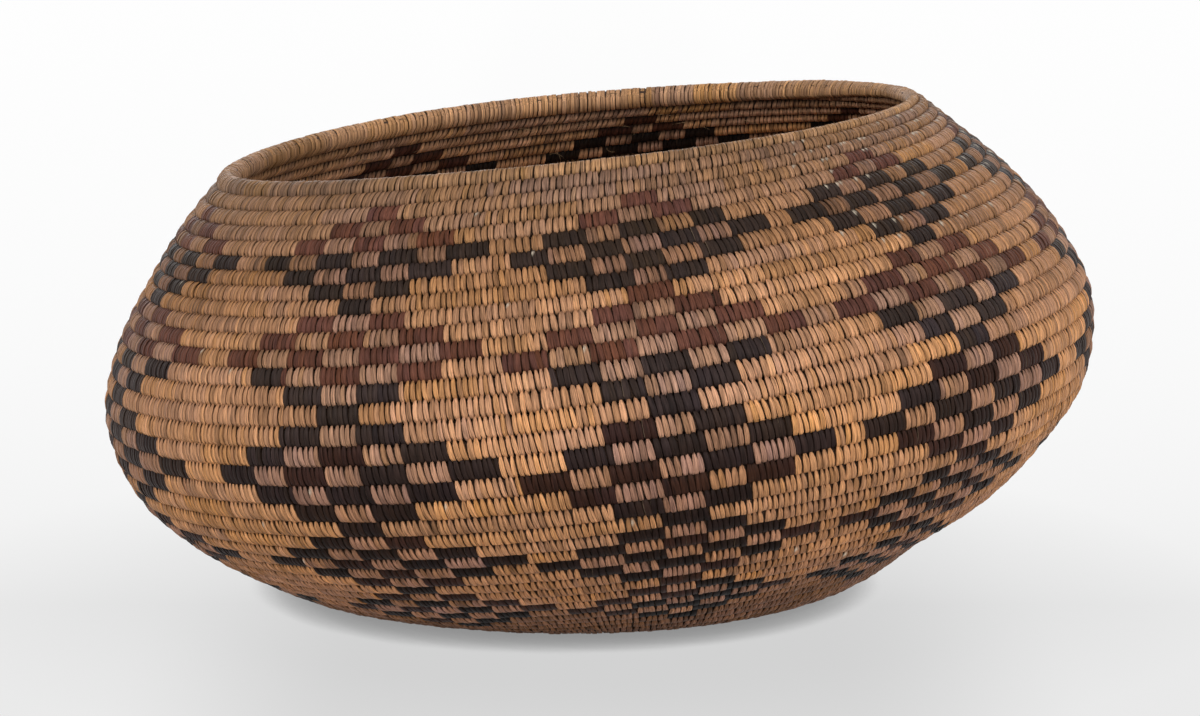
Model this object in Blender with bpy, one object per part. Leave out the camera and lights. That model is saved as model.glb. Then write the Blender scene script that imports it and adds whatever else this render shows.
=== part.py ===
"""Coiled basket jar: one long coil wound up from a start knot to the rim.

The middle of the coil lies on a smooth skin. The skin is described by rings, one for each turn counted
down from the rim, and each ring has a radius, a height, a sideways shift and a lean. The jar leans to -X,
and its base is pressed flat on the surface that it stands on.

The coil is laid in spliced lengths, one object each. Every length is an unbroken tube that follows the
spiral, and its turns lie on each other with a small gap, as the sewn turns of the real coil do.

+Z is up, -Y is the front, and the origin is the middle of the base's underside.
"""
import math

import bpy
import numpy as np

# Form of the jar, to the middle of the coil
RIM_RADIUS = 0.1503
RIM_HEIGHT = 0.1994
BELLY_RADIUS = 0.2146
BELLY_HEIGHT = 0.1067
FOOT_RADIUS = 0.0852

# Share of the way out and down from the rim to the belly, a station every few turns
SHOULDER_CURVE = [(0.0, 0.0), (0.288, 0.205), (0.582, 0.435), (0.8375, 0.69), (1.0, 1.0)]
# Share of the way in and down from the belly to the foot, a station every few turns
FLANK_CURVE = [(0.0, 0.0), (0.045, 0.29), (0.175, 0.50), (0.346, 0.68), (0.5635, 0.836), (0.775, 0.958),
               (1.0, 1.0)]
TURNS_PER_STATION = 4

# How far each station's ring lies off the base's middle towards +X, and how much its +X side is raised
SHIFTS = [-0.0128, -0.0137, -0.0086, -0.0054, -0.0012, 0.0030, 0.0052, 0.0065, 0.0073, 0.0050, 0.0]
LEANS_DEG = [6.3, 7.5, 7.3, 7.2, 7.1, 6.8, 6.6, 5.95, 5.75, 2.35, 0.0]

# The rim isn't quite flat: how many waves it has round it, their height, and the angle of a crest in degrees
# from the front towards +X. The waves die out over the turns below it
RIM_WAVES = [(2, 0.0012, 14.0), (3, 0.0006, -29.0)]
WAVE_TURNS = 8.0

# The coil and its sewing
BASE_PITCH = 0.0077
COIL_DEPTH = 0.0077
RIM_DEPTH = 0.0092
GROOVE_SHARE = 0.45
TURN_GAP = 0.0006
SPLICE_GAP = 0.0003
WEAR_DEPTH = 0.0005

# Where the coil's end thins out under the rim's binding, in degrees from the front towards +X
RUN_OUT_START_DEG = 105.0
RUN_OUT_END_DEG = 165.0
RUN_OUT_TIP = 0.3
TIP_CLEARANCE = 0.001
KNOT_TURNS = 1.2
KNOT_BEVEL = 0.0012

# Every turn has this many even segments, and the run-out and the splices begin and end on them
SEGMENTS_PER_TURN = 24
FULL_TURN = 2.0 * math.pi

# How far on both sides of a point the skin's slope is taken
NORMAL_TURNS = 0.25
NORMAL_ANGLE = 0.001

# How many segments past the front each splice lies, round the back of the jar, from the neck down
SPLICE_SEGMENTS = [11, 13, 10, 14, 12, 9, 13, 11, 14, 10, 12]

# Dry plant fibre, lighter on the wall than under the rim and round the foot
TAN = (0.42, 0.23, 0.115)
DARK_TAN = (0.25, 0.135, 0.075)
UPPER_TAN = (0.30, 0.18, 0.105)


def reset_scene():
    """Remove every object, so that the script can be run again in an open file."""
    for item in list(bpy.data.objects):
        bpy.data.objects.remove(item, do_unlink=True)


def station_table():
    """Radius, height, shift and lean of each station ring, from the rim down to the foot."""
    base_height = COIL_DEPTH / 2 - WEAR_DEPTH
    rows = []
    for wider, down in SHOULDER_CURVE:
        radius = RIM_RADIUS + wider * (BELLY_RADIUS - RIM_RADIUS)
        height = RIM_HEIGHT - down * (RIM_HEIGHT - BELLY_HEIGHT)
        rows.append((radius, height))
    for narrower, down in FLANK_CURVE[1:]:
        radius = BELLY_RADIUS - narrower * (BELLY_RADIUS - FOOT_RADIUS)
        height = BELLY_HEIGHT - down * (BELLY_HEIGHT - base_height)
        rows.append((radius, height))
    table = [(r, z, s, math.radians(a)) for (r, z), s, a in zip(rows, SHIFTS, LEANS_DEG)]
    return np.array(table)


STATIONS = station_table()
WALL_TURNS = TURNS_PER_STATION * (len(STATIONS) - 1)
ALL_TURNS = WALL_TURNS + FOOT_RADIUS / BASE_PITCH


def ring(turn):
    """Radius, height, shift and lean of the ring that lies a number of turns below the rim.

    Between stations the values follow a Catmull-Rom curve. Above the rim they run on straight, and past
    the foot the ring shrinks by one pitch a turn on the flat base.
    """
    turn = np.asarray(turn, dtype=float)
    base_step = np.array([-BASE_PITCH * TURNS_PER_STATION, 0.0, 0.0, 0.0])
    above = 2 * STATIONS[0] - STATIONS[1]
    below = STATIONS[-1] + base_step
    knots = np.vstack([above, STATIONS, below])
    place = np.clip(turn, 0.0, WALL_TURNS - 1e-9) / TURNS_PER_STATION
    index = np.floor(place).astype(int)
    u = (place - index)[..., None]
    p0, p1, p2, p3 = (knots[index + step] for step in range(4))
    curve = 0.5 * (2 * p1 + (p2 - p0) * u + (2 * p0 - 5 * p1 + 4 * p2 - p3) * u ** 2
                   + (3 * p1 - p0 - 3 * p2 + p3) * u ** 3)
    rise = np.minimum(turn, 0.0)[..., None] * (STATIONS[1] - STATIONS[0]) / TURNS_PER_STATION
    spread = np.maximum(turn - WALL_TURNS, 0.0)[..., None] * base_step / TURNS_PER_STATION
    return curve + rise + spread


def rim_wave(turn, angle):
    """Rise of the rim's soft waves at a ring and angle."""
    fade = (1 - np.clip(turn / WAVE_TURNS, 0.0, 1.0)) ** 2
    crests = [rise * np.cos(waves * (angle - math.radians(crest))) for waves, rise, crest in RIM_WAVES]
    return fade * sum(crests)


def skin(turn, angle):
    """Point of the skin on a ring, at an angle from the front towards +X."""
    radius, height, shift, lean = np.moveaxis(ring(turn), -1, 0)
    across = radius * np.sin(angle)
    x = shift + across * np.cos(lean)
    y = -radius * np.cos(angle)
    z = height + across * np.sin(lean) + rim_wave(turn, angle)
    return np.stack([x, y, z], axis=-1)


def outward(turn, angle):
    """Unit normal of the skin that points out of the jar, evened out over half a turn of its slope."""
    down = skin(turn + NORMAL_TURNS, angle) - skin(turn - NORMAL_TURNS, angle)
    along = skin(turn, angle + NORMAL_ANGLE) - skin(turn, angle - NORMAL_ANGLE)
    normal = np.cross(down, along)
    return normal / np.linalg.norm(normal, axis=-1, keepdims=True)


def turn_angle(turn):
    """Angle of the coil at a turn: going down it runs from +X past the front to -X."""
    return -FULL_TURN * np.asarray(turn, dtype=float)


RUN_OUT_FROM = -RUN_OUT_START_DEG / 360.0
RUN_OUT_TO = -RUN_OUT_END_DEG / 360.0
TIP_STEP = TIP_CLEARANCE / (FULL_TURN * RIM_RADIUS)
RIM_LEVEL = -0.5
SAME_TURN = 1e-9


def run_out_edge(turn):
    """Seam between the coil's thinning end and the turn under it, rising to a thin tip at the rim."""
    share = np.clip((turn - RUN_OUT_FROM) / (RUN_OUT_TO - RUN_OUT_FROM), 0.0, 1.0)
    flat = turn + 0.5
    return flat + (RIM_LEVEL + RUN_OUT_TIP - flat) * share * share * (3 - 2 * share)


def coil_edges(turn):
    """Rings where the upper and lower edge of the coil lie, at a turn.

    The coil is one turn high. The last turn is trimmed level with the rim, and its very end thins out on
    top of the turn that it lies on.
    """
    turn = np.asarray(turn, dtype=float)
    under_end = run_out_edge(turn - 1)
    upper = np.where(turn < 1 + RUN_OUT_FROM, under_end, turn - 0.5)
    upper = np.where(turn < 1 + RUN_OUT_TO - SAME_TURN, RIM_LEVEL, upper)
    lower = np.where(turn < RUN_OUT_FROM, run_out_edge(turn), turn + 0.5)
    return upper, lower


def coil_section(turn, depth):
    """Six points round the coil: a ridge outside and inside, and two flat flanks on its neighbours."""
    angle = turn_angle(turn)
    upper, lower = coil_edges(turn)
    pitch = np.linalg.norm(skin(turn + 0.5, angle) - skin(turn - 0.5, angle), axis=-1)
    seam = 0.5 * TURN_GAP / pitch
    upper = upper + seam
    lower = lower - seam
    middle = 0.5 * (upper + lower)
    fullness = np.clip((lower - upper), 0.0, 1.0)
    ridge = 0.5 * depth * fullness
    groove = GROOVE_SHARE * ridge
    corners = [(middle, ridge), (lower, groove), (lower, -groove)]
    corners += [(middle, -ridge), (upper, -groove), (upper, groove)]
    points = [skin(row, angle) + side[..., None] * outward(row, angle) for row, side in corners]
    return np.stack(points, axis=-2)


def coil_points(start, end, depth):
    """Sections of a spliced length of coil, at even angles that every turn shares.

    One more section stands close before the coil's blunt end, where the turn under it steps up to the rim.
    """
    radius = float(ring(0.5 * (start + end))[0])
    trim = 0.5 * SPLICE_GAP / (FULL_TURN * radius)
    first = math.floor(start * SEGMENTS_PER_TURN)
    last = math.ceil(end * SEGMENTS_PER_TURN)
    even = np.arange(first, last + 1) / SEGMENTS_PER_TURN
    turns = np.append(even, 1 + RUN_OUT_TO - TIP_STEP)
    spare = 0.2 / SEGMENTS_PER_TURN
    turns = np.sort(turns[(turns > start + spare) & (turns < end - spare)])
    turns = np.concatenate([[start + trim], turns, [end - trim]])
    return coil_section(turns, depth)


def tube_mesh(name, sections):
    """Closed tube through the sections, with a flat cap at each end."""
    count, sides = sections.shape[:2]
    verts = sections.reshape(-1, 3)
    faces = []
    for i in range(count - 1):
        for j in range(sides):
            k = (j + 1) % sides
            faces.append((i * sides + j, (i + 1) * sides + j, (i + 1) * sides + k, i * sides + k))
    faces.append(tuple(range(sides)))
    faces.append(tuple(count * sides - 1 - j for j in range(sides)))
    mesh = bpy.data.meshes.new(name)
    mesh.from_pydata(verts.tolist(), [], faces)
    mesh.update()
    return mesh


def finish_material(name, colour, roughness):
    """Plain Principled finish for dry plant fibre."""
    material = bpy.data.materials.new(name)
    material.use_nodes = True
    shader = material.node_tree.nodes["Principled BSDF"]
    shader.inputs["Base Color"].default_value = (*colour, 1.0)
    shader.inputs["Roughness"].default_value = roughness
    shader.inputs["Metallic"].default_value = 0.0
    return material


def add_object(name, mesh, colour, roughness=0.6):
    """Put a mesh into the scene as a named piece with its own material."""
    mesh.shade_smooth()
    mesh.set_sharp_from_angle(angle=math.radians(40))
    piece = bpy.data.objects.new(name, mesh)
    bpy.context.collection.objects.link(piece)
    mesh.materials.append(finish_material(name + "_fibre", colour, roughness))
    return piece


def add_coil(name, start, end, depth, colour):
    """Add one spliced length of the coil."""
    sections = coil_points(start, end, depth)
    piece = add_object(name, tube_mesh(name, sections), colour)
    return piece, sections


def add_start_knot():
    """Add the knot in the middle of the base, whose edge follows the coil that is wound on to it."""
    end = ALL_TURNS - KNOT_TURNS
    turns = end - 1 + np.arange(SEGMENTS_PER_TURN + 1) / SEGMENTS_PER_TURN
    angles = turn_angle(turns)
    radii = BASE_PITCH * (ALL_TURNS - turns - 0.5) - 0.5 * TURN_GAP
    top = COIL_DEPTH - WEAR_DEPTH
    levels = [(0.0, KNOT_BEVEL), (KNOT_BEVEL, 0.0), (top - KNOT_BEVEL, 0.0), (top, KNOT_BEVEL)]
    loops = []
    for height, inset in levels:
        edge = radii - inset
        loop = np.stack([edge * np.sin(angles), -edge * np.cos(angles), np.full_like(edge, height)], -1)
        loops.append(loop)
    sides = len(turns)
    verts = np.concatenate(loops)
    faces = []
    for level in range(len(levels) - 1):
        for j in range(sides):
            k = (j + 1) % sides
            low = level * sides
            high = low + sides
            faces.append((low + k, low + j, high + j, high + k))
    faces.append(tuple(range(sides)))
    faces.append(tuple(len(verts) - 1 - j for j in range(sides)))
    mesh = bpy.data.meshes.new("start_knot")
    mesh.from_pydata(verts.tolist(), [], faces)
    mesh.update()
    return add_object("start_knot", mesh, DARK_TAN)


def add_floor_cutter():
    """Add the slab that wears the base's ridges flat where the jar stands on them."""
    size = 4 * FOOT_RADIUS
    depth = COIL_DEPTH
    mesh = bpy.data.meshes.new("floor_cutter")
    half = size / 2
    square = [(-half, -half), (half, -half), (half, half), (-half, half)]
    corners = [(x, y, z) for z in (-depth, 0.0) for x, y in square]
    quads = [(0, 3, 2, 1), (4, 5, 6, 7), (0, 1, 5, 4), (1, 2, 6, 5), (2, 3, 7, 6), (3, 0, 4, 7)]
    mesh.from_pydata(corners, [], quads)
    cutter = bpy.data.objects.new("floor_cutter", mesh)
    bpy.context.collection.objects.link(cutter)
    cutter.hide_render = True
    cutter.display_type = "WIRE"
    return cutter


def wear_flat(piece, cutter):
    """Cut a base coil flat where its ridges reach below the surface that the jar stands on."""
    cut = piece.modifiers.new("worn_flat", "BOOLEAN")
    cut.operation = "DIFFERENCE"
    cut.solver = "EXACT"
    cut.object = cutter


def least_turn_gap(start, end):
    """Least distance between the lower flank of a turn and the upper flank of the next one."""
    count = round((end - 1 - start) * SEGMENTS_PER_TURN)
    turns = start + np.arange(1, count) / SEGMENTS_PER_TURN
    above = coil_section(turns, COIL_DEPTH)[:, 1:3]
    below = coil_section(turns + 1, COIL_DEPTH)[:, 4:6][:, ::-1]
    return float(np.linalg.norm(above - below, axis=-1).min())


def build():
    """Make the jar from the rim down to the start knot."""
    reset_scene()
    cutter = add_floor_cutter()
    names = [
        ("rim_coil", RIM_DEPTH, UPPER_TAN),
        ("neck_coil", COIL_DEPTH, UPPER_TAN),
        ("upper_shoulder_coil", COIL_DEPTH, UPPER_TAN),
        ("lower_shoulder_coil", COIL_DEPTH, TAN),
        ("upper_belly_coil", COIL_DEPTH, TAN),
        ("lower_belly_coil", COIL_DEPTH, TAN),
        ("upper_flank_coil", COIL_DEPTH, TAN),
        ("lower_flank_coil", COIL_DEPTH, TAN),
        ("heel_coil", COIL_DEPTH, DARK_TAN),
        ("foot_coil", COIL_DEPTH, DARK_TAN),
        ("outer_base_coil", COIL_DEPTH, DARK_TAN),
        ("middle_base_coil", COIL_DEPTH, DARK_TAN),
        ("inner_base_coil", COIL_DEPTH, DARK_TAN),
    ]
    ends = [1 + RUN_OUT_FROM]
    for number, segments in enumerate(SPLICE_SEGMENTS, start=1):
        ends.append(TURNS_PER_STATION * number + segments / SEGMENTS_PER_TURN)
    ends.append(ALL_TURNS - KNOT_TURNS)
    start = RUN_OUT_TO
    for (name, depth, colour), end in zip(names, ends):
        piece, sections = add_coil(name, start, end, depth, colour)
        if sections[..., 2].min() < 0:
            wear_flat(piece, cutter)
        start = end
    add_start_knot()
    print("least gap between turns: %.2f mm" % (1000 * least_turn_gap(RUN_OUT_TO, ends[-1])))


build()
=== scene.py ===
"""Coiled basket jar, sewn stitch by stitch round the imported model's coil.

The jar's skin is a pile of leaning rings. A point of it is found from its turn below the rim and its angle
from the front towards +X, and the coil and every stitch are laid out on that skin.
"""

import math

import bpy
import numpy as np
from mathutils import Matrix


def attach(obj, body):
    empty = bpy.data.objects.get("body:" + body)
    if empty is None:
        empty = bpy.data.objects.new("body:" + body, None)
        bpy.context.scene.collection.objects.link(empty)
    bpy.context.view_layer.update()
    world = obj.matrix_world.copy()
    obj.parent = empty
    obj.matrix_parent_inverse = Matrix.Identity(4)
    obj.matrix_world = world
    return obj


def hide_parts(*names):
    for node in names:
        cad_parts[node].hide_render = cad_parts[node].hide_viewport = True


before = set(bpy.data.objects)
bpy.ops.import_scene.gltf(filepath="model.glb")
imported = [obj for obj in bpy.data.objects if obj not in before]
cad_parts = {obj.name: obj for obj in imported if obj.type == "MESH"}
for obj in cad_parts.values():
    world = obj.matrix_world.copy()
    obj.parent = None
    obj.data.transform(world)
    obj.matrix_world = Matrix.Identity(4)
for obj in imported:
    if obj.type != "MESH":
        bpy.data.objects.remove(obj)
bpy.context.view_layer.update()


# Foundation coil
# A bundle of dry stems laid in one unbroken spiral from the middle of the base to the rim. It shows only as narrow
# gaps between the stitches that hold its turns together, and its dark brown is partly its own colour and partly
# painted shade for those gaps.

FULL_TURN = 2.0 * math.pi
TURNS_PER_STATION = 4
RING_RADIUS_MM = [150.3, 168.8, 187.75, 204.15, 214.6, 208.8, 192.0, 169.85, 141.7, 114.3, 85.2]
RING_HEIGHT_MM = [199.4, 180.4, 159.1, 135.45, 106.7, 76.7, 55.0, 36.4, 20.3, 7.7, 3.35]
RING_SHIFT_MM = [-12.8, -13.7, -8.6, -5.4, -1.2, 3.0, 5.2, 6.5, 7.3, 5.0, 0.0]
RING_LEAN_DEG = [6.3, 7.5, 7.3, 7.2, 7.1, 6.8, 6.6, 5.95, 5.75, 2.35, 0.0]
RIM_WAVES = [(2, 0.0012, 14.0), (3, 0.0006, -29.0)]
WAVE_TURNS = 8.0
PITCH = 0.0077
STATIONS = np.stack([
    np.array(RING_RADIUS_MM) / 1000,
    np.array(RING_HEIGHT_MM) / 1000,
    np.array(RING_SHIFT_MM) / 1000,
    np.radians(RING_LEAN_DEG),
], axis=-1)
WALL_TURNS = TURNS_PER_STATION * (len(STATIONS) - 1)
ALL_TURNS = WALL_TURNS + STATIONS[-1, 0] / PITCH
SLOPE_TURNS = 0.25
SLOPE_ANGLE = 0.001

RUN_OUT_FROM = -105 / 360
RUN_OUT_TO = -165 / 360
RIM_LEVEL = -0.5
RIM_DEPTH = 0.0092
COIL_DEPTH = 0.0077
RIM_END = 1 + RUN_OUT_FROM
RIM_THINNING_TURNS = 0.1


def ring(turn):
    """Radius, height, shift and lean of a ring: a Catmull-Rom curve through the stations, straight above the
    rim, and shrinking by one pitch a turn on the flat base."""
    base_step = np.array([-PITCH * TURNS_PER_STATION, 0.0, 0.0, 0.0])
    knots = np.vstack([2 * STATIONS[0] - STATIONS[1], STATIONS, STATIONS[-1] + base_step])
    place = np.clip(turn, 0.0, WALL_TURNS - 1e-9) / TURNS_PER_STATION
    index = np.floor(place).astype(int)
    u = (place - index)[..., None]
    p0, p1, p2, p3 = (knots[index + step] for step in range(4))
    curve = 0.5 * (2 * p1 + (p2 - p0) * u + (2 * p0 - 5 * p1 + 4 * p2 - p3) * u ** 2
                   + (3 * p1 - p0 - 3 * p2 + p3) * u ** 3)
    rise = np.minimum(turn, 0.0)[..., None] * (STATIONS[1] - STATIONS[0]) / TURNS_PER_STATION
    spread = np.maximum(turn - WALL_TURNS, 0.0)[..., None] * base_step / TURNS_PER_STATION
    return curve + rise + spread


def rim_wave(turn, angle):
    """Rise of the rim's soft waves: cosines of a few times the angle, fading out down the wall."""
    fade = (1 - np.clip(turn / WAVE_TURNS, 0.0, 1.0)) ** 2
    return fade * sum(rise * np.cos(waves * (angle - math.radians(crest))) for waves, rise, crest in RIM_WAVES)


def skin(turn, angle):
    """Point of the skin: the ring's radius turned by the angle, then leaned and shifted towards +X."""
    radius, height, shift, lean = np.moveaxis(ring(turn), -1, 0)
    across = radius * np.sin(angle)
    x = shift + across * np.cos(lean)
    y = -radius * np.cos(angle)
    z = height + across * np.sin(lean) + rim_wave(turn, angle)
    return np.stack([x, y, z], axis=-1)


def on_skin(turn, angle, depth):
    """Point at a depth outside the skin, along the cross product of the slopes down and round the skin."""
    down = skin(turn + SLOPE_TURNS, angle) - skin(turn - SLOPE_TURNS, angle)
    along = skin(turn, angle + SLOPE_ANGLE) - skin(turn, angle - SLOPE_ANGLE)
    normal = np.cross(down, along)
    normal /= np.linalg.norm(normal, axis=-1, keepdims=True)
    return skin(turn, angle) + depth[..., None] * normal


def run_out_edge(turn):
    """Seam under the rim's binding: half a turn below the coil's middle, and then a smooth step of one turn
    down, where the binding takes in the coil's end and the turn under it."""
    share = np.clip((turn - RUN_OUT_FROM) / (RUN_OUT_TO - RUN_OUT_FROM), 0.0, 1.0)
    return turn + 0.5 + share * share * (3 - 2 * share)


def coil_edges(turn):
    """Rings of the coil's upper and lower edge: half a turn up and down, but trimmed level at the rim."""
    upper = np.where(turn < RIM_END, run_out_edge(turn - 1), turn - 0.5)
    upper = np.where(turn < 1 + RUN_OUT_TO, RIM_LEVEL, upper)
    lower = np.where(turn < RUN_OUT_FROM, run_out_edge(turn), turn + 0.5)
    return upper, lower


def half_depth(turn):
    """Half the coil's thickness through the wall: fuller at the rim, and thinning with the run-out."""
    upper, lower = coil_edges(turn)
    full = np.interp(turn, [RIM_END - RIM_THINNING_TURNS, RIM_END], [RIM_DEPTH, COIL_DEPTH])
    return 0.5 * full * np.clip(lower - upper, 0.0, 1.0)


def grid_faces(rows, columns, closed_rows=False):
    """Quads of a grid of points, each joined to the next row, round again where closed, and the next column,
    round again always."""
    i = np.arange(rows if closed_rows else rows - 1)[:, None]
    j = np.arange(columns)[None, :]
    corners = [(0, 0), (1, 0), (1, 1), (0, 1)]
    quads = [((i + a) % rows) * columns + (j + b) % columns for a, b in corners]
    return np.stack(quads, axis=-1).reshape(-1, 4)


def smooth_mesh(name, points, faces, layers):
    """Mesh of quads with smooth faces, and its points' named values: colours of four or vectors of three."""
    mesh = bpy.data.meshes.new(name)
    mesh.vertices.add(len(points))
    mesh.vertices.foreach_set("co", points.astype(np.float32).ravel())
    mesh.loops.add(faces.size)
    mesh.loops.foreach_set("vertex_index", faces.astype(np.int32).ravel())
    mesh.polygons.add(len(faces))
    mesh.polygons.foreach_set("loop_start", np.arange(0, faces.size, 4, dtype=np.int32))
    mesh.polygons.foreach_set("use_smooth", np.ones(len(faces), dtype=bool))
    mesh.update(calc_edges=True)
    for layer, values in layers.items():
        kind, field = ("FLOAT_COLOR", "color") if values.shape[-1] == 4 else ("FLOAT_VECTOR", "vector")
        attribute = mesh.attributes.new(layer, kind, "POINT")
        attribute.data.foreach_set(field, values.astype(np.float32).ravel())
    mesh.validate()
    return mesh


def place_piece(name, mesh, material):
    """Put a finished mesh into the scene, where it moves with the jar."""
    piece = bpy.data.objects.new(name, mesh)
    bpy.context.collection.objects.link(piece)
    mesh.materials.append(material)
    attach(piece, "root")
    return piece


def looks(red, green, blue):
    """Linear colour of a finish that looks like this out of 255."""
    share = np.array([red, green, blue]) / 255
    return np.where(share <= 0.04045, share / 12.92, ((share + 0.055) / 1.055) ** 2.4)


def node_maker(owner):
    """Make nodes one by one for a material or a world: each call adds a node, sets its values and joins its
    inputs, which are given by name, or by number where two have one name."""
    tree = owner.node_tree

    def add(kind, settings=None, **inputs):
        node = tree.nodes.new(kind)
        for field, value in (settings or {}).items():
            setattr(node, field, value)
        for socket, value in inputs.items():
            target = node.inputs[int(socket[1:])] if socket[0] == "_" else node.inputs[socket.replace("_", " ")]
            if isinstance(value, bpy.types.NodeSocket):
                tree.links.new(value, target)
            else:
                target.default_value = value
        return node
    return add, tree


# Dark brown of the stems: partly their own colour, partly painted shade for the gaps between stitches
STEM_DARK_LOOK = (34, 22, 14)
STEM_PALE_LOOK = (78, 52, 33)
STEM_STREAK_SCALE = 900.0


def stem_material():
    """Dry stems: dark brown, partly painted shade for the gaps between stitches, with fine flecks of noise."""
    material = bpy.data.materials.new("dry_stems")
    material.use_nodes = True
    add, tree = node_maker(material)
    shader = tree.nodes["Principled BSDF"]
    shader.inputs["Roughness"].default_value = 0.85
    place = add("ShaderNodeTexCoord")
    streaks = add("ShaderNodeTexNoise", Vector=place.outputs["Object"], Scale=STEM_STREAK_SCALE, Detail=3.0)
    ramp = add("ShaderNodeValToRGB", Fac=streaks.outputs["Fac"])
    ramp.color_ramp.elements[0].color = (*looks(*STEM_DARK_LOOK), 1)
    ramp.color_ramp.elements[1].color = (*looks(*STEM_PALE_LOOK), 1)
    tree.links.new(ramp.outputs["Color"], shader.inputs["Base Color"])
    bump = add("ShaderNodeBump", Strength=0.5, Distance=0.0004, Height=streaks.outputs["Fac"])
    tree.links.new(bump.outputs["Normal"], shader.inputs["Normal"])
    return material


STEM_SEGMENTS = 60
STEM_SIDES = 8
STEM_DEPTH_SHARE = 0.80
STEM_HEIGHT_SHARE = 0.47
STEM_START_TURNS = 0.45
STEM_LOWEST = 0.0006
stem_turns = np.arange(RUN_OUT_TO, ALL_TURNS - STEM_START_TURNS, 1 / STEM_SEGMENTS)[:, None]
stem_round = np.arange(STEM_SIDES)[None, :] * FULL_TURN / STEM_SIDES
stem_upper, stem_lower = coil_edges(stem_turns)
stem_row = 0.5 * (stem_upper + stem_lower) - STEM_HEIGHT_SHARE * (stem_lower - stem_upper) * np.cos(stem_round)
stem_out = STEM_DEPTH_SHARE * half_depth(stem_turns) * np.sin(stem_round)
stem_points = on_skin(stem_row, -FULL_TURN * stem_turns + 0 * stem_round, stem_out)
for end in (0, -1):
    stem_points[end] = stem_points[end].mean(axis=0)
stem_points[..., 2] = np.maximum(stem_points[..., 2], STEM_LOWEST)
stem_faces = grid_faces(len(stem_turns), STEM_SIDES)[:, ::-1]
stem_mesh = smooth_mesh("foundation_coil", stem_points.reshape(-1, 3), stem_faces, {})
place_piece("foundation_coil", stem_mesh, stem_material())


# Stitches
# Each stitch is a split shoot wrapped over the coil and through the turn below, between two of its stitches. It
# is pointed at the top, rounded at the bottom and slightly crowned. Finer stitches bind the thick last turn.

STITCH_MM = [2.40, 2.40, 2.42, 2.46, 2.52, 2.48, 2.38, 2.32, 2.30, 2.40]
BINDING_MM = 1.9
BINDING_WIDENS_FROM = 0.3
WIDTH_VARIATION = 0.10
WIDEST_VARIATION = 1.6
STITCHES_PER_WAVE = 11
SAMPLES_PER_TURN = 720
EVENING_SAMPLES = 25
FIRST_SAMPLE = math.floor(-0.6 * SAMPLES_PER_TURN)
SEWN_TURNS = ALL_TURNS - 0.55


def smooth_stairs(x):
    """Nearly whole numbers that climb in smooth steps: x less its sine wave."""
    return x - np.sin(FULL_TURN * x) / FULL_TURN


def stitch_turns():
    """Turn of every stitch. Stitches are counted up the spiral. The count is the evened-out count of the turn
    below plus a half and a nearly whole number, so that stitches stand between those of the turn below."""
    turns = np.arange(FIRST_SAMPLE, math.ceil(ALL_TURNS * SAMPLES_PER_TURN)) / SAMPLES_PER_TURN
    spacing = np.interp(turns / TURNS_PER_STATION, np.arange(len(STITCH_MM)), STITCH_MM)
    bound = np.interp(turns, [BINDING_WIDENS_FROM, RIM_END], [BINDING_MM, STITCH_MM[0]])
    spacing = np.where(turns < RIM_END, bound, spacing)
    rate = FULL_TURN * np.maximum(ring(turns)[:, 0], 0.0) * 1000 / spacing
    wave = np.random.default_rng(4).normal(0.0, 1.0, len(turns) * 3 // STITCHES_PER_WAVE)
    place = np.cumsum(rate) / SAMPLES_PER_TURN / STITCHES_PER_WAVE
    swing = np.clip(np.interp(place, np.arange(len(wave)), wave), -WIDEST_VARIATION, WIDEST_VARIATION)
    rate = rate * (1 + WIDTH_VARIATION * swing)
    ideal = np.cumsum(rate[::-1])[::-1] / SAMPLES_PER_TURN
    count = ideal.copy()
    step = SAMPLES_PER_TURN // 2
    reach = EVENING_SAMPLES // 2
    even = np.ones(EVENING_SAMPLES) / EVENING_SAMPLES
    for top in range(len(turns) - 3 * step - reach, -step, -step):
        low = max(top, 0)
        below = np.convolve(count[low + 2 * step - reach:top + 3 * step + reach], even, "valid")
        block = slice(low, top + step)
        count[block] = below + 0.5 + smooth_stairs(ideal[block] - below - 0.5)
    count = np.maximum.accumulate(count[::-1])[::-1]
    whole = np.arange(math.ceil(count.min()), math.floor(count.max()))
    return np.interp(whole, count[::-1], turns[::-1])


sewn = stitch_turns()
gap_after = np.gradient(sewn)
inside_ends = (sewn > RUN_OUT_TO) & (sewn < SEWN_TURNS)
sewn, gap_after = sewn[inside_ends], np.abs(gap_after[inside_ends])
draw = np.random.default_rng(9)
total = len(sewn)

# Figures
# Nine columns of stepped diamonds, sewn in dark splints with pinkish ones between the blocks. A diamond's rows
# hold 1, 2, 3, 4, 3, 2 and 1 dark blocks, and the column below starts in its last row.

COLUMN_DEG = np.array([8.5, 46.0, 84.0, 125.0, 168.0, 210.5, 251.0, 289.0, 332.5])
BLOCK_STEP_DEG = np.array([9.4, 9.3, 9.6, 9.6, 9.6, 9.6, 10.5, 11.5, 9.6])
SLIP_ROWS = [2, 5, 12, 18, 22, 26, 29, 33]
SLIP_DEG = [
    [1.7, 0.6, -0.6, -0.2, -0.5, -0.3, 0.2, 2.4],
    [1.0, -0.4, -1.0, -1.2, -1.8, -2.0, -1.2, 0.0],
    *[[0.0, 0.0, 0.0, 0.0, 0.2, 0.8, 1.2, 2.0]] * 6,
    [1.2, 0.3, -0.3, 0.1, 0.2, 1.8, 2.2, 3.0],
]
DARK_HALF = 0.27
ROWS_PER_FIGURE = 6
FIGURE_TIERS = 5
MOST_BLOCKS = 4
BROWN_SHARE = 0.42

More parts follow.
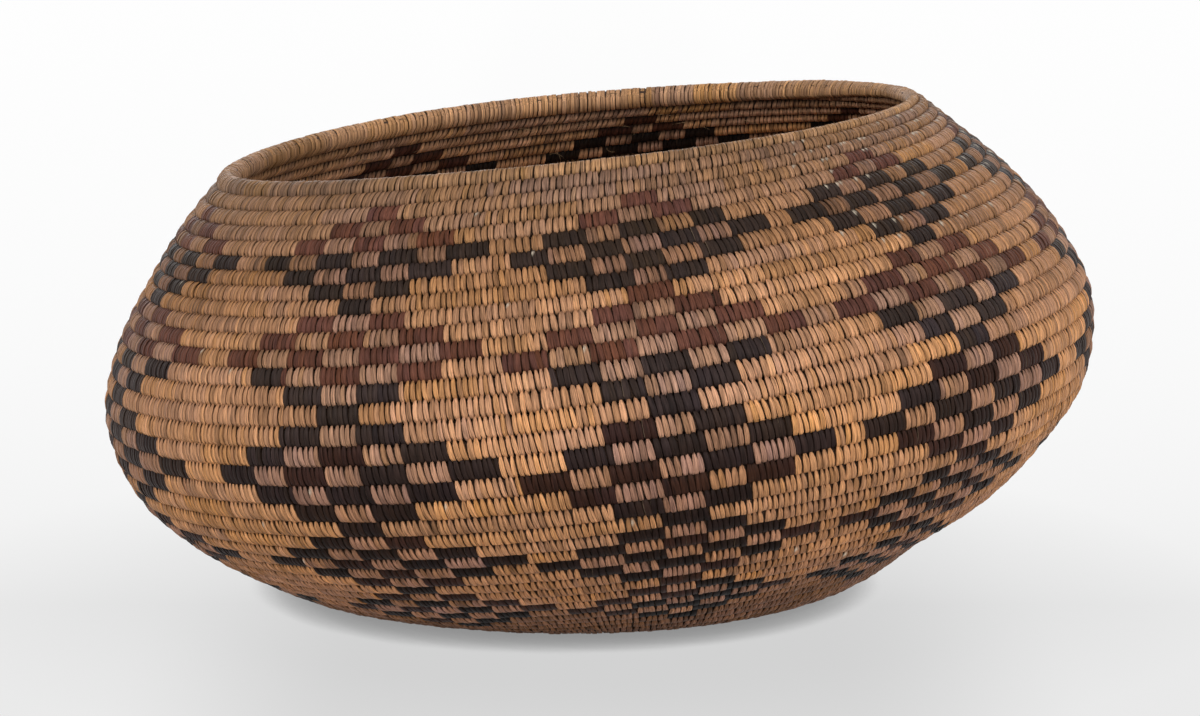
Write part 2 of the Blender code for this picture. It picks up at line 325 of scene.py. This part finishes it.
angle_deg = np.mod(-360.0 * sewn, 360.0)
offset_deg = np.mod(angle_deg[:, None] - COLUMN_DEG + 180.0, 360.0) - 180.0
figure_row = np.round(sewn[:, None] + (COLUMN_DEG + offset_deg) / 360.0)
widest = ROWS_PER_FIGURE * np.clip(np.round(figure_row / ROWS_PER_FIGURE), 1, FIGURE_TIERS)
blocks = MOST_BLOCKS - np.abs(figure_row - widest)
slip_deg = np.stack([np.interp(figure_row[:, k], SLIP_ROWS, slips) for k, slips in enumerate(SLIP_DEG)], axis=1)
block_place = (offset_deg - slip_deg) / BLOCK_STEP_DEG + 0.5 * (blocks - 1)
block_number = np.round(block_place)
in_figure = (blocks > 0) & (block_number >= 0) & (block_number < blocks)
dark = (in_figure & (np.abs(block_place - block_number) < DARK_HALF)).any(axis=1)
pink = ((blocks > 0) & (block_place > 0) & (block_place < blocks - 1)).any(axis=1) & ~dark

# A block is brown or black by a number of its own: the fraction of a large sine of its row, place and column
block_mark = np.where(in_figure, figure_row * 7 + block_number * 3 + np.arange(9) * 11, 0).sum(axis=1)
brown_block = np.mod(np.sin(block_mark * 12.9898) * 43758.5453, 1.0) < BROWN_SHARE

BINDING_TURNS = [-0.4, -0.25, 0.0, 0.1, 0.2, 0.4]
BINDING_LOOKS = [(208, 158, 114), (176, 134, 96), (172, 131, 95), (134, 103, 79), (148, 113, 84), (208, 158, 114)]
# Tan and black splints darken in the lowest turns, which face the floor: that darkening is painted shade
TAN_TURNS = [1.0, 3.5, 6.0, 10.0, 14.0, 17.0, 20.0, 28.0, 32.0]
TAN_LOOKS = [(147, 111, 84), (166, 124, 92), (164, 119, 84), (188, 138, 99), (192, 141, 103), (209, 152, 106),
             (190, 137, 94), (184, 132, 95), (138, 98, 73)]
PINK_TURNS = [3.5, 7.7, 11.0, 14.0, 20.0]
PINK_LOOKS = [(138, 103, 80), (141, 103, 81), (165, 125, 100), (171, 131, 106), (165, 120, 94)]
BLACK_TURNS = [5.0, 14.0, 19.0, 33.0]
BLACK_LOOKS = [(47, 35, 29), (54, 42, 38), (42, 28, 23), (14, 6, 4)]
DARK_BROWN_LOOK = (52, 31, 24)
DARK_BROWN_FROM = 15.5
RED_BROWN_LOOK = (97, 60, 47)
RED_BROWN_DOWN_TO = 4.5
RED_BROWN_BAND = (8.93, 12.1)


def along_wall(turns, steps, colours):
    """Colour of a finish that changes down the wall, blended between a few turns."""
    table = np.array([looks(*colour) for colour in colours])
    return np.stack([np.interp(turns, steps, table[:, channel]) for channel in range(3)], axis=-1)


binding = sewn < 1 + RUN_OUT_TO
dye = along_wall(sewn, TAN_TURNS, TAN_LOOKS)
dye[binding] = along_wall(sewn, BINDING_TURNS, BINDING_LOOKS)[binding]
dye[pink] = along_wall(sewn, PINK_TURNS, PINK_LOOKS)[pink]
red_zone = (sewn < RED_BROWN_DOWN_TO) | ((sewn > RED_BROWN_BAND[0]) & (sewn < RED_BROWN_BAND[1]))
dark_dye = along_wall(sewn, BLACK_TURNS, BLACK_LOOKS)
dark_dye = np.where((brown_block & (sewn > DARK_BROWN_FROM))[:, None], looks(*DARK_BROWN_LOOK), dark_dye)
dark_dye = np.where(red_zone[:, None], looks(*RED_BROWN_LOOK), dark_dye)
dye[dark] = dark_dye[dark]

# A splint lasts for a dozen or so stitches, so tone changes from run to run, and a little at each stitch
RUN_STITCHES = 13
RUN_BRIGHTNESS, SINGLE_BRIGHTNESS = 0.10, 0.13
RUN_WARMTH, SINGLE_WARMTH = 0.05, 0.03
WARM_RED, WARM_BLUE = 0.4, -1.6
TONE_LIMITS = (0.6, 1.45)
STAINED_SHARE = 0.018
STAIN = 0.62
run_tone = draw.normal(0.0, 1.0, (total // RUN_STITCHES + 2, 3))
run = run_tone[(np.arange(total) + draw.integers(0, 4, total)) // RUN_STITCHES]
single = draw.normal(0.0, 1.0, (total, 3))
brightness = 1 + RUN_BRIGHTNESS * run[:, 0] + SINGLE_BRIGHTNESS * single[:, 0]
warmth = RUN_WARMTH * run[:, 1] + SINGLE_WARMTH * single[:, 1]
tone = np.stack([brightness * (1 + WARM_RED * warmth), brightness, brightness * (1 + WARM_BLUE * warmth)], axis=-1)
dye = dye * np.clip(tone, *TONE_LIMITS)
stained = draw.random(total) < STAINED_SHARE
dye[stained & ~dark] *= STAIN

# Stations round the coil, from the outer top tip down the outside and up the inside: share of the coil's height
# from its middle, share of half its depth, the stitch's width, its crown, and a factor on its colour, below one
# where the stitch tucks under the row above and into the seam below, dirt and painted shade, and above one on the
# inside of the wall, painted light
WALL_PATH = np.array([
    (-0.65, 0.58, 0.14, 0.30, 0.60),
    (-0.51, 0.77, 0.58, 0.80, 0.90),
    (-0.30, 0.94, 0.93, 1.00, 1.00),
    (0.00, 1.02, 1.00, 1.00, 1.00),
    (0.30, 0.92, 1.00, 1.00, 1.00),
    (0.47, 0.66, 0.80, 0.90, 0.85),
    (0.55, 0.36, 0.42, 0.50, 0.50),
    (0.49, -0.55, 0.70, 0.80, 0.60),
    (0.20, -0.95, 1.00, 1.00, 1.70),
    (-0.20, -0.95, 1.00, 1.00, 1.70),
    (-0.47, -0.60, 0.65, 0.80, 0.60),
])
NECK_PATH = WALL_PATH + np.array([(0.07, 0.0, 0.20, 0, 0.1), (0.02, 0.0, 0.10, 0, 0), *[(0, 0, 0, 0, 0)] * 9])
NECK_END = 7.0
NECK_BLEND_TURNS = 5.0
RIM_PATH = np.array([
    (-0.49, 0.12, 1.00, 1.00, 1.00),
    (-0.42, 0.55, 1.00, 1.00, 1.00),
    (-0.24, 0.88, 1.00, 1.00, 1.00),
    (0.00, 1.00, 1.00, 1.00, 1.00),
    (0.26, 0.92, 1.00, 1.00, 1.00),
    (0.46, 0.66, 0.90, 0.80, 0.85),
    (0.56, 0.38, 0.52, 0.50, 0.50),
    (0.49, -0.55, 0.80, 0.80, 0.60),
    (0.22, -0.93, 1.00, 1.00, 0.95),
    (-0.18, -0.95, 1.00, 1.00, 1.00),
    (-0.41, -0.50, 1.00, 1.00, 1.00),
])

# Shifts along the row at the same stations, in half stitches, and then places, crown, and dirt and painted shade
# across a stitch, darker at its edges where stitches meet
INNER_SLANT = np.array([0, 0, 0, 0, 0, 0, 0, -1.0, -0.44, 0.44, 1.0])
SIDE = np.array([-1.0, -0.78, 0.78, 1.0])
CROWN = np.array([-0.00042, 0.00024, 0.00024, -0.00042])
EDGE_DIRT_AND_SHADE = np.array([0.05, 1.0, 1.0, 0.05])
DARK_FLATTER = 0.6
DARK_SQUARER = 0.7
# Dark stitches take less of the painted light on the inside of the wall
DARK_INSIDE = 0.4
PATH_DEPTH = 0.96
LEAN_TURNS = [8.5, 11.0, 16.0, 18.0]
LEAN_DEG = [0.0, 5.0, 5.5, 6.0]
LEAN_VARIATION_DEG = 2.5
HEIGHT_VARIATION = 0.03
DEPTH_VARIATION = 0.03
THICK_VARIATION = 0.05
PLACE_VARIATION = 0.10
LARGEST_JITTER = 2.2
GRAIN_ACROSS = 0.0014
GRAIN_ALONG = 0.0019
GRAIN_SPREAD = 900.0
WORN_DEPTH = 0.0001
WORN_REACH = 0.0004

# Pale residue near the right of the rim, and painted highlights: pale glints along the edges of a few dark splints
RESIDUE_LOOK = (206, 192, 172)
RESIDUE_TURNS = (0.5, 9.5)
RESIDUE_DEG = 66
RESIDUE_REACH_DEG = 32
RESIDUE_SHARE = 0.09
ELSEWHERE_SHARE = 0.002
GLINT_LOOK = (150, 128, 108)
GLINT_SHARE = 0.06


def stitch_points(chosen):
    """Points of the chosen stitches: each is a band round the coil, with four points across it.

    A station's place is the coil's middle row plus its share of the coil's height, at its share of the depth.
    A point's turn is the stitch's turn plus its side times half the stitch's width, and its crown stands along
    the path's own normal. What would be under the floor is worn away, all but a tenth of a millimetre.
    """
    turn = sewn[chosen][:, None, None]
    upper, lower = coil_edges(sewn[chosen])
    tall = (lower - upper)[:, None, None]
    middle = 0.5 * (upper + lower)[:, None, None]
    deep = half_depth(sewn[chosen])[:, None, None]
    neck_share = np.clip((NECK_END - turn) / NECK_BLEND_TURNS, 0.0, 1.0)
    topmost = (turn < 1 + RUN_OUT_TO).astype(float)
    path = WALL_PATH[None] * (1 - neck_share) + NECK_PATH[None] * neck_share
    path = path * (1 - topmost) + RIM_PATH[None] * topmost
    height_share, depth_share, width, crown, dirt_and_painted_light = np.moveaxis(path, -1, 0)

    is_dark = dark[chosen][:, None]
    flatter = DARK_FLATTER * is_dark
    width = width + (1 - width) * DARK_SQUARER * flatter
    crown = crown * (1 - flatter)
    # Dirt and painted shade at the stitch's edges, where stitches meet, less on the flatter dark stitches
    edge_dirt_and_shade = 1 - (1 - EDGE_DIRT_AND_SHADE) * (1 - flatter[..., None])
    # Less painted light on the inside of dark stitches
    dirt_and_painted_light = np.where(is_dark & (depth_share < 0), DARK_INSIDE * dirt_and_painted_light, dirt_and_painted_light)

    height_jitter = 1 + HEIGHT_VARIATION * jitter[chosen, 0][:, None]
    depth_jitter = PATH_DEPTH + DEPTH_VARIATION * jitter[chosen, 1][:, None]
    row_mm = height_share * tall[..., 0] * height_jitter * PITCH * 1000
    out_mm = depth_share * deep[..., 0] * depth_jitter * 1000
    slope_row = np.roll(row_mm, -1, axis=1) - np.roll(row_mm, 1, axis=1)
    slope_out = np.roll(out_mm, -1, axis=1) - np.roll(out_mm, 1, axis=1)
    length = np.hypot(slope_row, slope_out) + 1e-9
    normal_row = -slope_out / length
    normal_out = slope_row / length
    lift = CROWN[None, None, :] * crown[..., None]
    row_shift = (row_mm / 1000 / PITCH)[..., None] + normal_row[..., None] * lift / PITCH
    out = (out_mm / 1000)[..., None] + normal_out[..., None] * lift

    half = 0.5 * gap_after[chosen][:, None, None] * (1.0 + THICK_VARIATION * jitter[chosen, 2])[:, None, None]
    round_mm = FULL_TURN * ring(sewn[chosen])[:, 0][:, None, None] * 1000
    lean_deg = np.interp(sewn[chosen], LEAN_TURNS, LEAN_DEG) + LEAN_VARIATION_DEG * jitter[chosen, 3]
    lean_slope = np.tan(np.radians(lean_deg))[:, None, None]
    lean = -lean_slope * row_mm[..., None] * (out_mm > 0)[..., None] / round_mm
    slant = INNER_SLANT[None, :, None] * (1 - topmost)
    along = half * (SIDE[None, None, :] * width[..., None] + slant) + lean
    along = along + PLACE_VARIATION * half * jitter[chosen, 4][:, None, None]
    points = on_skin(middle + along + row_shift, -FULL_TURN * (turn + along), out)
    sunk = np.minimum(points[..., 2], 0.0)
    points[..., 2] = np.maximum(points[..., 2], 0.0) - WORN_DEPTH * (1 - np.exp(sunk / WORN_REACH))

    # Colour at each point: the splint's colour times the dirt, painted light and painted shade of its station and
    # edges
    colour = dye[chosen][:, None, None, :] * (dirt_and_painted_light[..., None] * edge_dirt_and_shade)[..., None]
    colour[residue[chosen], 2, 2] = looks(*RESIDUE_LOOK)
    # Painted highlight along one edge of a few dark splints
    colour[glint[chosen], 1:5, 3] = looks(*GLINT_LOOK)
    colour = np.concatenate([colour, np.ones((*colour.shape[:3], 1))], axis=-1)
    grain = np.empty(points.shape)
    grain[..., 0] = SIDE * GRAIN_ACROSS
    grain[..., 1] = (np.arange(len(WALL_PATH)) * GRAIN_ALONG)[:, None]
    grain[..., 2] = grain_place[chosen][:, None, None]
    return points, colour, grain


def splint_material():
    """Split shoots: the colour carried by each stitch, its dye with dirt, painted light and painted shade, with
    fine streaks and flecks along it, and a soft sheen.
    """
    material = bpy.data.materials.new("split_shoots")
    material.use_nodes = True
    add, tree = node_maker(material)
    shader = tree.nodes["Principled BSDF"]
    shader.inputs["Specular IOR Level"].default_value = 0.08
    colour = add("ShaderNodeAttribute", {"attribute_name": "dye"})
    grain = add("ShaderNodeAttribute", {"attribute_name": "grain"})
    stretch = add("ShaderNodeMapping", Vector=grain.outputs["Vector"], Scale=(2600.0, 190.0, 1.0))
    streaks = add("ShaderNodeTexNoise", Vector=stretch.outputs["Vector"], Scale=1.0, Detail=3.0, Roughness=0.6)
    flecks = add("ShaderNodeTexNoise", Vector=stretch.outputs["Vector"], Scale=0.45, Detail=2.0)
    streak_tone = add("ShaderNodeMapRange", Value=streaks.outputs["Fac"],
                      From_Min=0.3, From_Max=0.7, To_Min=0.40, To_Max=1.55)
    fleck_tone = add("ShaderNodeMapRange", Value=flecks.outputs["Fac"],
                     From_Min=0.30, From_Max=0.44, To_Min=0.55, To_Max=1.0)
    both = add("ShaderNodeMath", {"operation": "MULTIPLY"}, _0=streak_tone.outputs[0], _1=fleck_tone.outputs[0])
    toned = add("ShaderNodeVectorMath", {"operation": "SCALE"}, _0=colour.outputs["Color"], Scale=both.outputs[0])
    tree.links.new(toned.outputs["Vector"], shader.inputs["Base Color"])
    rough = add("ShaderNodeMapRange", Value=streaks.outputs["Fac"],
                From_Min=0.3, From_Max=0.7, To_Min=0.62, To_Max=0.44)
    tree.links.new(rough.outputs[0], shader.inputs["Roughness"])
    bump = add("ShaderNodeBump", Strength=0.35, Distance=0.0002, Height=streaks.outputs["Fac"])
    tree.links.new(bump.outputs["Normal"], shader.inputs["Normal"])
    return material


jitter = np.clip(draw.normal(0.0, 1.0, (total, 5)), -LARGEST_JITTER, LARGEST_JITTER)
grain_place = draw.random(total) * GRAIN_SPREAD
near_right_rim = (sewn > RESIDUE_TURNS[0]) & (sewn < RESIDUE_TURNS[1])
near_right_rim &= np.abs(angle_deg - RESIDUE_DEG) < RESIDUE_REACH_DEG
residue = draw.random(total) < np.where(near_right_rim, RESIDUE_SHARE, ELSEWHERE_SHARE)
glint = dark & (draw.random(total) < GLINT_SHARE)
splints = splint_material()

# The sewn lengths end at the model's splices: every fourth turn, and so many segments of a turn further on
LENGTHS = [
    ("rim_coil", "rim_binding"), ("neck_coil", "upper_splint"), ("upper_shoulder_coil", "upper_splint"),
    ("lower_shoulder_coil", "wall_splint"), ("upper_belly_coil", "wall_splint"),
    ("lower_belly_coil", "wall_splint"), ("upper_flank_coil", "wall_splint"),
    ("lower_flank_coil", "wall_splint"), ("heel_coil", "base_splint"), ("foot_coil", "base_splint"),
    ("outer_base_coil", "base_splint"), ("middle_base_coil", "base_splint"), ("inner_base_coil", "base_splint"),
]
SPLICE_SEGMENTS = [11, 13, 10, 14, 12, 9, 13, 11, 14, 10, 12]
SEGMENTS_PER_TURN = 24
KNOT_TURNS = 1.2
THINNEST_SEWN = 0.12
length_ends = [RIM_END]
length_ends += [TURNS_PER_STATION * (k + 1) + n / SEGMENTS_PER_TURN for k, n in enumerate(SPLICE_SEGMENTS)]
length_ends += [ALL_TURNS - KNOT_TURNS]
length_start = -1.0
coil_top, coil_foot = coil_edges(sewn)
tall_enough = coil_foot - coil_top > THINNEST_SEWN
band_faces = grid_faces(len(WALL_PATH), len(SIDE), closed_rows=True)
band_size = len(WALL_PATH) * len(SIDE)
for (node, slot_name), length_end in zip(LENGTHS, length_ends):
    chosen = np.nonzero((sewn >= length_start) & (sewn < length_end) & tall_enough)[0]
    points, colour, grain = stitch_points(chosen)
    faces = band_faces[None] + band_size * np.arange(len(chosen))[:, None, None]
    layers = {"dye": colour.reshape(-1, 4), "grain": grain.reshape(-1, 3)}
    mesh = smooth_mesh(node + "_stitches", points.reshape(-1, 3), faces.reshape(-1, 4), layers)
    piece = place_piece(node + "_stitches", mesh, splints)
    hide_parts(node)
    length_start = length_end


# Start knot
# The first bend of the bundle, wound tight with the first splints. It closes the middle of the base.

KNOT_RADIUS = 0.0052
KNOT_HALF_HEIGHT = 0.0040
KNOT_RINGS = 9
KNOT_SIDES = 28
KNOT_RIBS = 7
KNOT_RIB_SHARE = 0.05
KNOT_LOOK = (150, 112, 84)
chosen = np.nonzero(sewn >= length_start)[0]
points, colour, grain = stitch_points(chosen)
faces = band_faces[None] + band_size * np.arange(len(chosen))[:, None, None]
knot_rise = np.linspace(-0.5, 0.5, KNOT_RINGS)[:, None] * math.pi
knot_round = np.arange(KNOT_SIDES)[None, :] * FULL_TURN / KNOT_SIDES
knot_wide = KNOT_RADIUS * np.cos(knot_rise) * (1 + KNOT_RIB_SHARE * np.cos(KNOT_RIBS * knot_round))
button = np.stack([
    knot_wide * np.sin(knot_round),
    -knot_wide * np.cos(knot_round),
    COIL_DEPTH / 2 + KNOT_HALF_HEIGHT * np.sin(knot_rise) + 0 * knot_round,
], axis=-1).reshape(-1, 3)
button[:, 2] = np.maximum(button[:, 2], 0.0)
button_faces = grid_faces(KNOT_RINGS, KNOT_SIDES)[:, ::-1]
button_colour = np.tile([*looks(*KNOT_LOOK), 1.0], (len(button), 1))
button_grain = button * [0.6, 0.6, 1.0]
knot_points = np.concatenate([points.reshape(-1, 3), button])
knot_faces = np.concatenate([faces.reshape(-1, 4), button_faces + band_size * len(chosen)])
knot_layers = {
    "dye": np.concatenate([colour.reshape(-1, 4), button_colour]),
    "grain": np.concatenate([grain.reshape(-1, 3), button_grain]),
}
knot_mesh = smooth_mesh("start_knot_stitches", knot_points, knot_faces, knot_layers)
knot = place_piece("start_knot_stitches", knot_mesh, splints)
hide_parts("start_knot")


# Loose fibre ends
# Ends of splints that were left loose inside below the rim, where one runs out and the next begins. Each is a
# thin curling hair that starts under a stitch.

HAIRS = 90
HAIR_RINGS = 8
HAIR_SIDES = 3
HAIR_RADIUS_MM = 0.22
HAIR_THINNING = 0.7
HAIR_SUNK_MM = 0.3
HAIR_LOOK = (168, 138, 104)
hair_draw = np.random.default_rng(21)
hair_turn = hair_draw.uniform(1.2, 6.0, HAIRS)[:, None, None]
hair_angle = hair_draw.uniform(-math.pi, math.pi, HAIRS)[:, None, None]
hair_length = hair_draw.uniform(3.0, 11.0, HAIRS)[:, None, None]
hair_bearing = hair_draw.uniform(0.0, FULL_TURN, HAIRS)[:, None, None]
hair_curl = hair_draw.normal(0.0, 1.2, HAIRS)[:, None, None]
hair_rise = hair_draw.uniform(0.5, 3.0, HAIRS)[:, None, None]
share = np.linspace(0.0, 1.0, HAIR_RINGS)[None, :, None]
around = np.arange(HAIR_SIDES)[None, None, :] * FULL_TURN / HAIR_SIDES
heading = hair_bearing + hair_curl * share
thick = HAIR_RADIUS_MM * (1 - HAIR_THINNING * share)
along_mm = hair_length * share * np.cos(heading) - thick * np.cos(around) * np.sin(heading)
down_mm = hair_length * share * np.sin(heading) + thick * np.cos(around) * np.cos(heading)
in_mm = 500 * COIL_DEPTH - HAIR_SUNK_MM + hair_rise * share ** 2 + thick * np.sin(around)
radius_mm = 1000 * ring(hair_turn)[..., 0]
hair_points = on_skin(hair_turn + down_mm / 1000 / PITCH, hair_angle + along_mm / radius_mm, -in_mm / 1000)
for end in (0, -1):
    hair_points[:, end] = hair_points[:, end].mean(axis=1, keepdims=True)
hair_points = hair_points.reshape(-1, 3)
hair_faces = grid_faces(HAIR_RINGS, HAIR_SIDES)[None] + HAIR_RINGS * HAIR_SIDES * np.arange(HAIRS)[:, None, None]
hair_colour = np.tile([*looks(*HAIR_LOOK), 1.0], (len(hair_points), 1))
hair_layers = {"dye": hair_colour, "grain": hair_points * [0.5, 0.5, 1.0]}
hair_mesh = smooth_mesh("loose_fibre_ends", hair_points, hair_faces.reshape(-1, 4), hair_layers)
place_piece("loose_fibre_ends", hair_mesh, splints)


# Floor
# A wide pale studio floor. Seen directly, it is a glow: grey in front of the jar and white further off, with a
# painted shadow that is dark where the heel is close over it and soft all round the jar. Lamps see it as plain
# matt paint.

FLOOR_HALF = 12.0
FLOOR_HEIGHT = -0.0002
FRONT_GREY, SIDE_GREY, FAR_GREY = 0.70, 0.82, 1.0
GREY_FROM, GREY_TO = 0.09, 0.20
GREY_BACK, GREY_FRONT, GREY_SIDE = -0.05, -0.3, 0.35
FADE_LENGTH = 0.25
CONTACT_REACH, SHADOW_REACH = 0.012, 0.11


def add_math(add, operation, first, second):
    """Number worked out from two others, in a node."""
    return add("ShaderNodeMath", {"operation": operation}, _0=first, _1=second).outputs[0]


def seen_directly(add):
    """One for a ray from the camera, or one mirrored or let through by a piece, and nought for the lamps'."""
    ray = add("ShaderNodeLightPath")
    seen = add_math(add, "MAXIMUM", ray.outputs["Is Camera Ray"], ray.outputs["Is Glossy Ray"])
    return add_math(add, "MAXIMUM", seen, ray.outputs["Is Transmission Ray"])


floor_mesh = bpy.data.meshes.new("studio_floor")
floor_corners = [(-1, -1), (1, -1), (1, 1), (-1, 1)]
floor_points = [(x * FLOOR_HALF, y * FLOOR_HALF, FLOOR_HEIGHT) for x, y in floor_corners]
floor_mesh.from_pydata(floor_points, [], [(0, 1, 2, 3)])
floor = bpy.data.objects.new("studio_floor", floor_mesh)
bpy.context.collection.objects.link(floor)
floor_paint = bpy.data.materials.new("floor_paint")
floor_paint.use_nodes = True
add, tree = node_maker(floor_paint)
floor_shader = tree.nodes["Principled BSDF"]
floor_shader.inputs["Base Color"].default_value = (0.80, 0.80, 0.80, 1)
floor_shader.inputs["Roughness"].default_value = 0.9
floor_shader.inputs["Specular IOR Level"].default_value = 0.1
place = add("ShaderNodeTexCoord")
axes = add("ShaderNodeSeparateXYZ", Vector=place.outputs["Object"])
aside = add("ShaderNodeMath", {"operation": "ABSOLUTE"}, _0=axes.outputs["X"]).outputs[0]
grey = add("ShaderNodeMapRange", {"interpolation_type": "SMOOTHSTEP"}, Value=aside,
           From_Min=GREY_FROM, From_Max=GREY_TO, To_Min=FRONT_GREY, To_Max=SIDE_GREY)
behind = add_math(add, "SUBTRACT", axes.outputs["Y"], GREY_BACK)
ahead = add_math(add, "SUBTRACT", GREY_FRONT, axes.outputs["Y"])
beside = add_math(add, "SUBTRACT", aside, GREY_SIDE)
away = add_math(add, "MAXIMUM", add_math(add, "MAXIMUM", add_math(add, "MAXIMUM", behind, ahead), beside), 0.0)
faded = add_math(add, "DIVIDE", away, add_math(add, "ADD", away, FADE_LENGTH))
pale = add("ShaderNodeMapRange", Value=faded, From_Min=0.0, From_Max=1.0, To_Min=grey.outputs[0], To_Max=FAR_GREY)
# Painted shadow on the floor's glow: dark right under the heel, and soft all round the jar
closeness = add("ShaderNodeAmbientOcclusion", {"samples": 8}, Distance=CONTACT_REACH)
contact = add("ShaderNodeMapRange", Value=closeness.outputs["AO"],
              From_Min=0.05, From_Max=0.75, To_Min=0.42, To_Max=1.0)
openness = add("ShaderNodeAmbientOcclusion", {"samples": 8}, Distance=SHADOW_REACH)
soft = add("ShaderNodeMapRange", Value=openness.outputs["AO"],
           From_Min=0.40, From_Max=1.0, To_Min=0.92, To_Max=1.0)
shadow = add_math(add, "MULTIPLY", soft.outputs[0], contact.outputs[0])
look = add_math(add, "MULTIPLY", pale.outputs[0], shadow)
glow = add("ShaderNodeEmission", Color=look, Strength=1.0)
blend = add("ShaderNodeMixShader", Fac=seen_directly(add), _1=floor_shader.outputs[0], _2=glow.outputs[0])
tree.links.new(blend.outputs[0], tree.nodes["Material Output"].inputs["Surface"])
floor_mesh.materials.append(floor_paint)


# Light and camera
# Soft square lamps: high ones at the left, right and top, low ones in front and at the right, two behind for the
# back, and a faint even world. The camera stands where the photograph was taken from.

WORLD_LIGHT = 0.05
WORLD_WHITE = 0.985
AIM_HEIGHT = 0.1
world = bpy.data.worlds.new("studio")
bpy.context.scene.world = world
world.use_nodes = True
add, sky = node_maker(world)
lit = sky.nodes["Background"]
lit.inputs["Color"].default_value = (1, 1, 1, 1)
lit.inputs["Strength"].default_value = WORLD_LIGHT
white = add("ShaderNodeBackground", Color=(WORLD_WHITE, WORLD_WHITE, WORLD_WHITE, 1), Strength=1.0)
blend = add("ShaderNodeMixShader", Fac=seen_directly(add), _1=lit.outputs[0], _2=white.outputs[0])
sky.links.new(blend.outputs[0], sky.nodes["World Output"].inputs["Surface"])


def add_lamp(name, place, size, energy):
    """Square area lamp that faces the jar's middle."""
    light = bpy.data.lights.new(name, "AREA")
    light.size = size
    light.energy = energy
    lamp = bpy.data.objects.new(name, light)
    bpy.context.collection.objects.link(lamp)
    lamp.location = place
    x, y, z = np.array([0.0, 0.0, AIM_HEIGHT]) - np.array(place)
    lamp.rotation_euler = (math.atan2(math.hypot(x, y), -z), 0, math.atan2(y, x) - math.pi / 2)


add_lamp("front_lamp", (0.5, -2.2, 0.45), 1.0, 16.8)
add_lamp("left_lamp", (-1.35, -1.2, 1.3), 1.0, 21.0)
add_lamp("right_lamp", (1.4, -1.4, 1.2), 1.0, 9.5)
add_lamp("top_lamp", (1.1, -0.3, 1.9), 1.0, 5.0)
add_lamp("low_lamp", (1.9, -0.6, 0.6), 0.8, 4.8)
add_lamp("back_left_lamp", (-0.5, 2.1, 0.7), 1.0, 9.0)
add_lamp("back_right_lamp", (0.6, 2.0, 1.2), 1.0, 9.0)

CAMERA_DISTANCE = 1.5
CAMERA_ELEVATION = math.radians(9.754)
SENSOR_MM = 36.0
FOCAL_PIXELS = 3374.8
FRAME_PIXELS = 1200
camera_data = bpy.data.cameras.new("camera")
camera_data.sensor_width = SENSOR_MM
camera_data.lens = SENSOR_MM * FOCAL_PIXELS / FRAME_PIXELS
camera = bpy.data.objects.new("camera", camera_data)
bpy.context.collection.objects.link(camera)
camera.location = (0, -CAMERA_DISTANCE * math.cos(CAMERA_ELEVATION),
                   AIM_HEIGHT + CAMERA_DISTANCE * math.sin(CAMERA_ELEVATION))
camera.rotation_euler = (math.pi / 2 - CAMERA_ELEVATION, 0, 0)
bpy.context.scene.camera = camera
bpy.context.scene.view_settings.view_transform = "Standard"
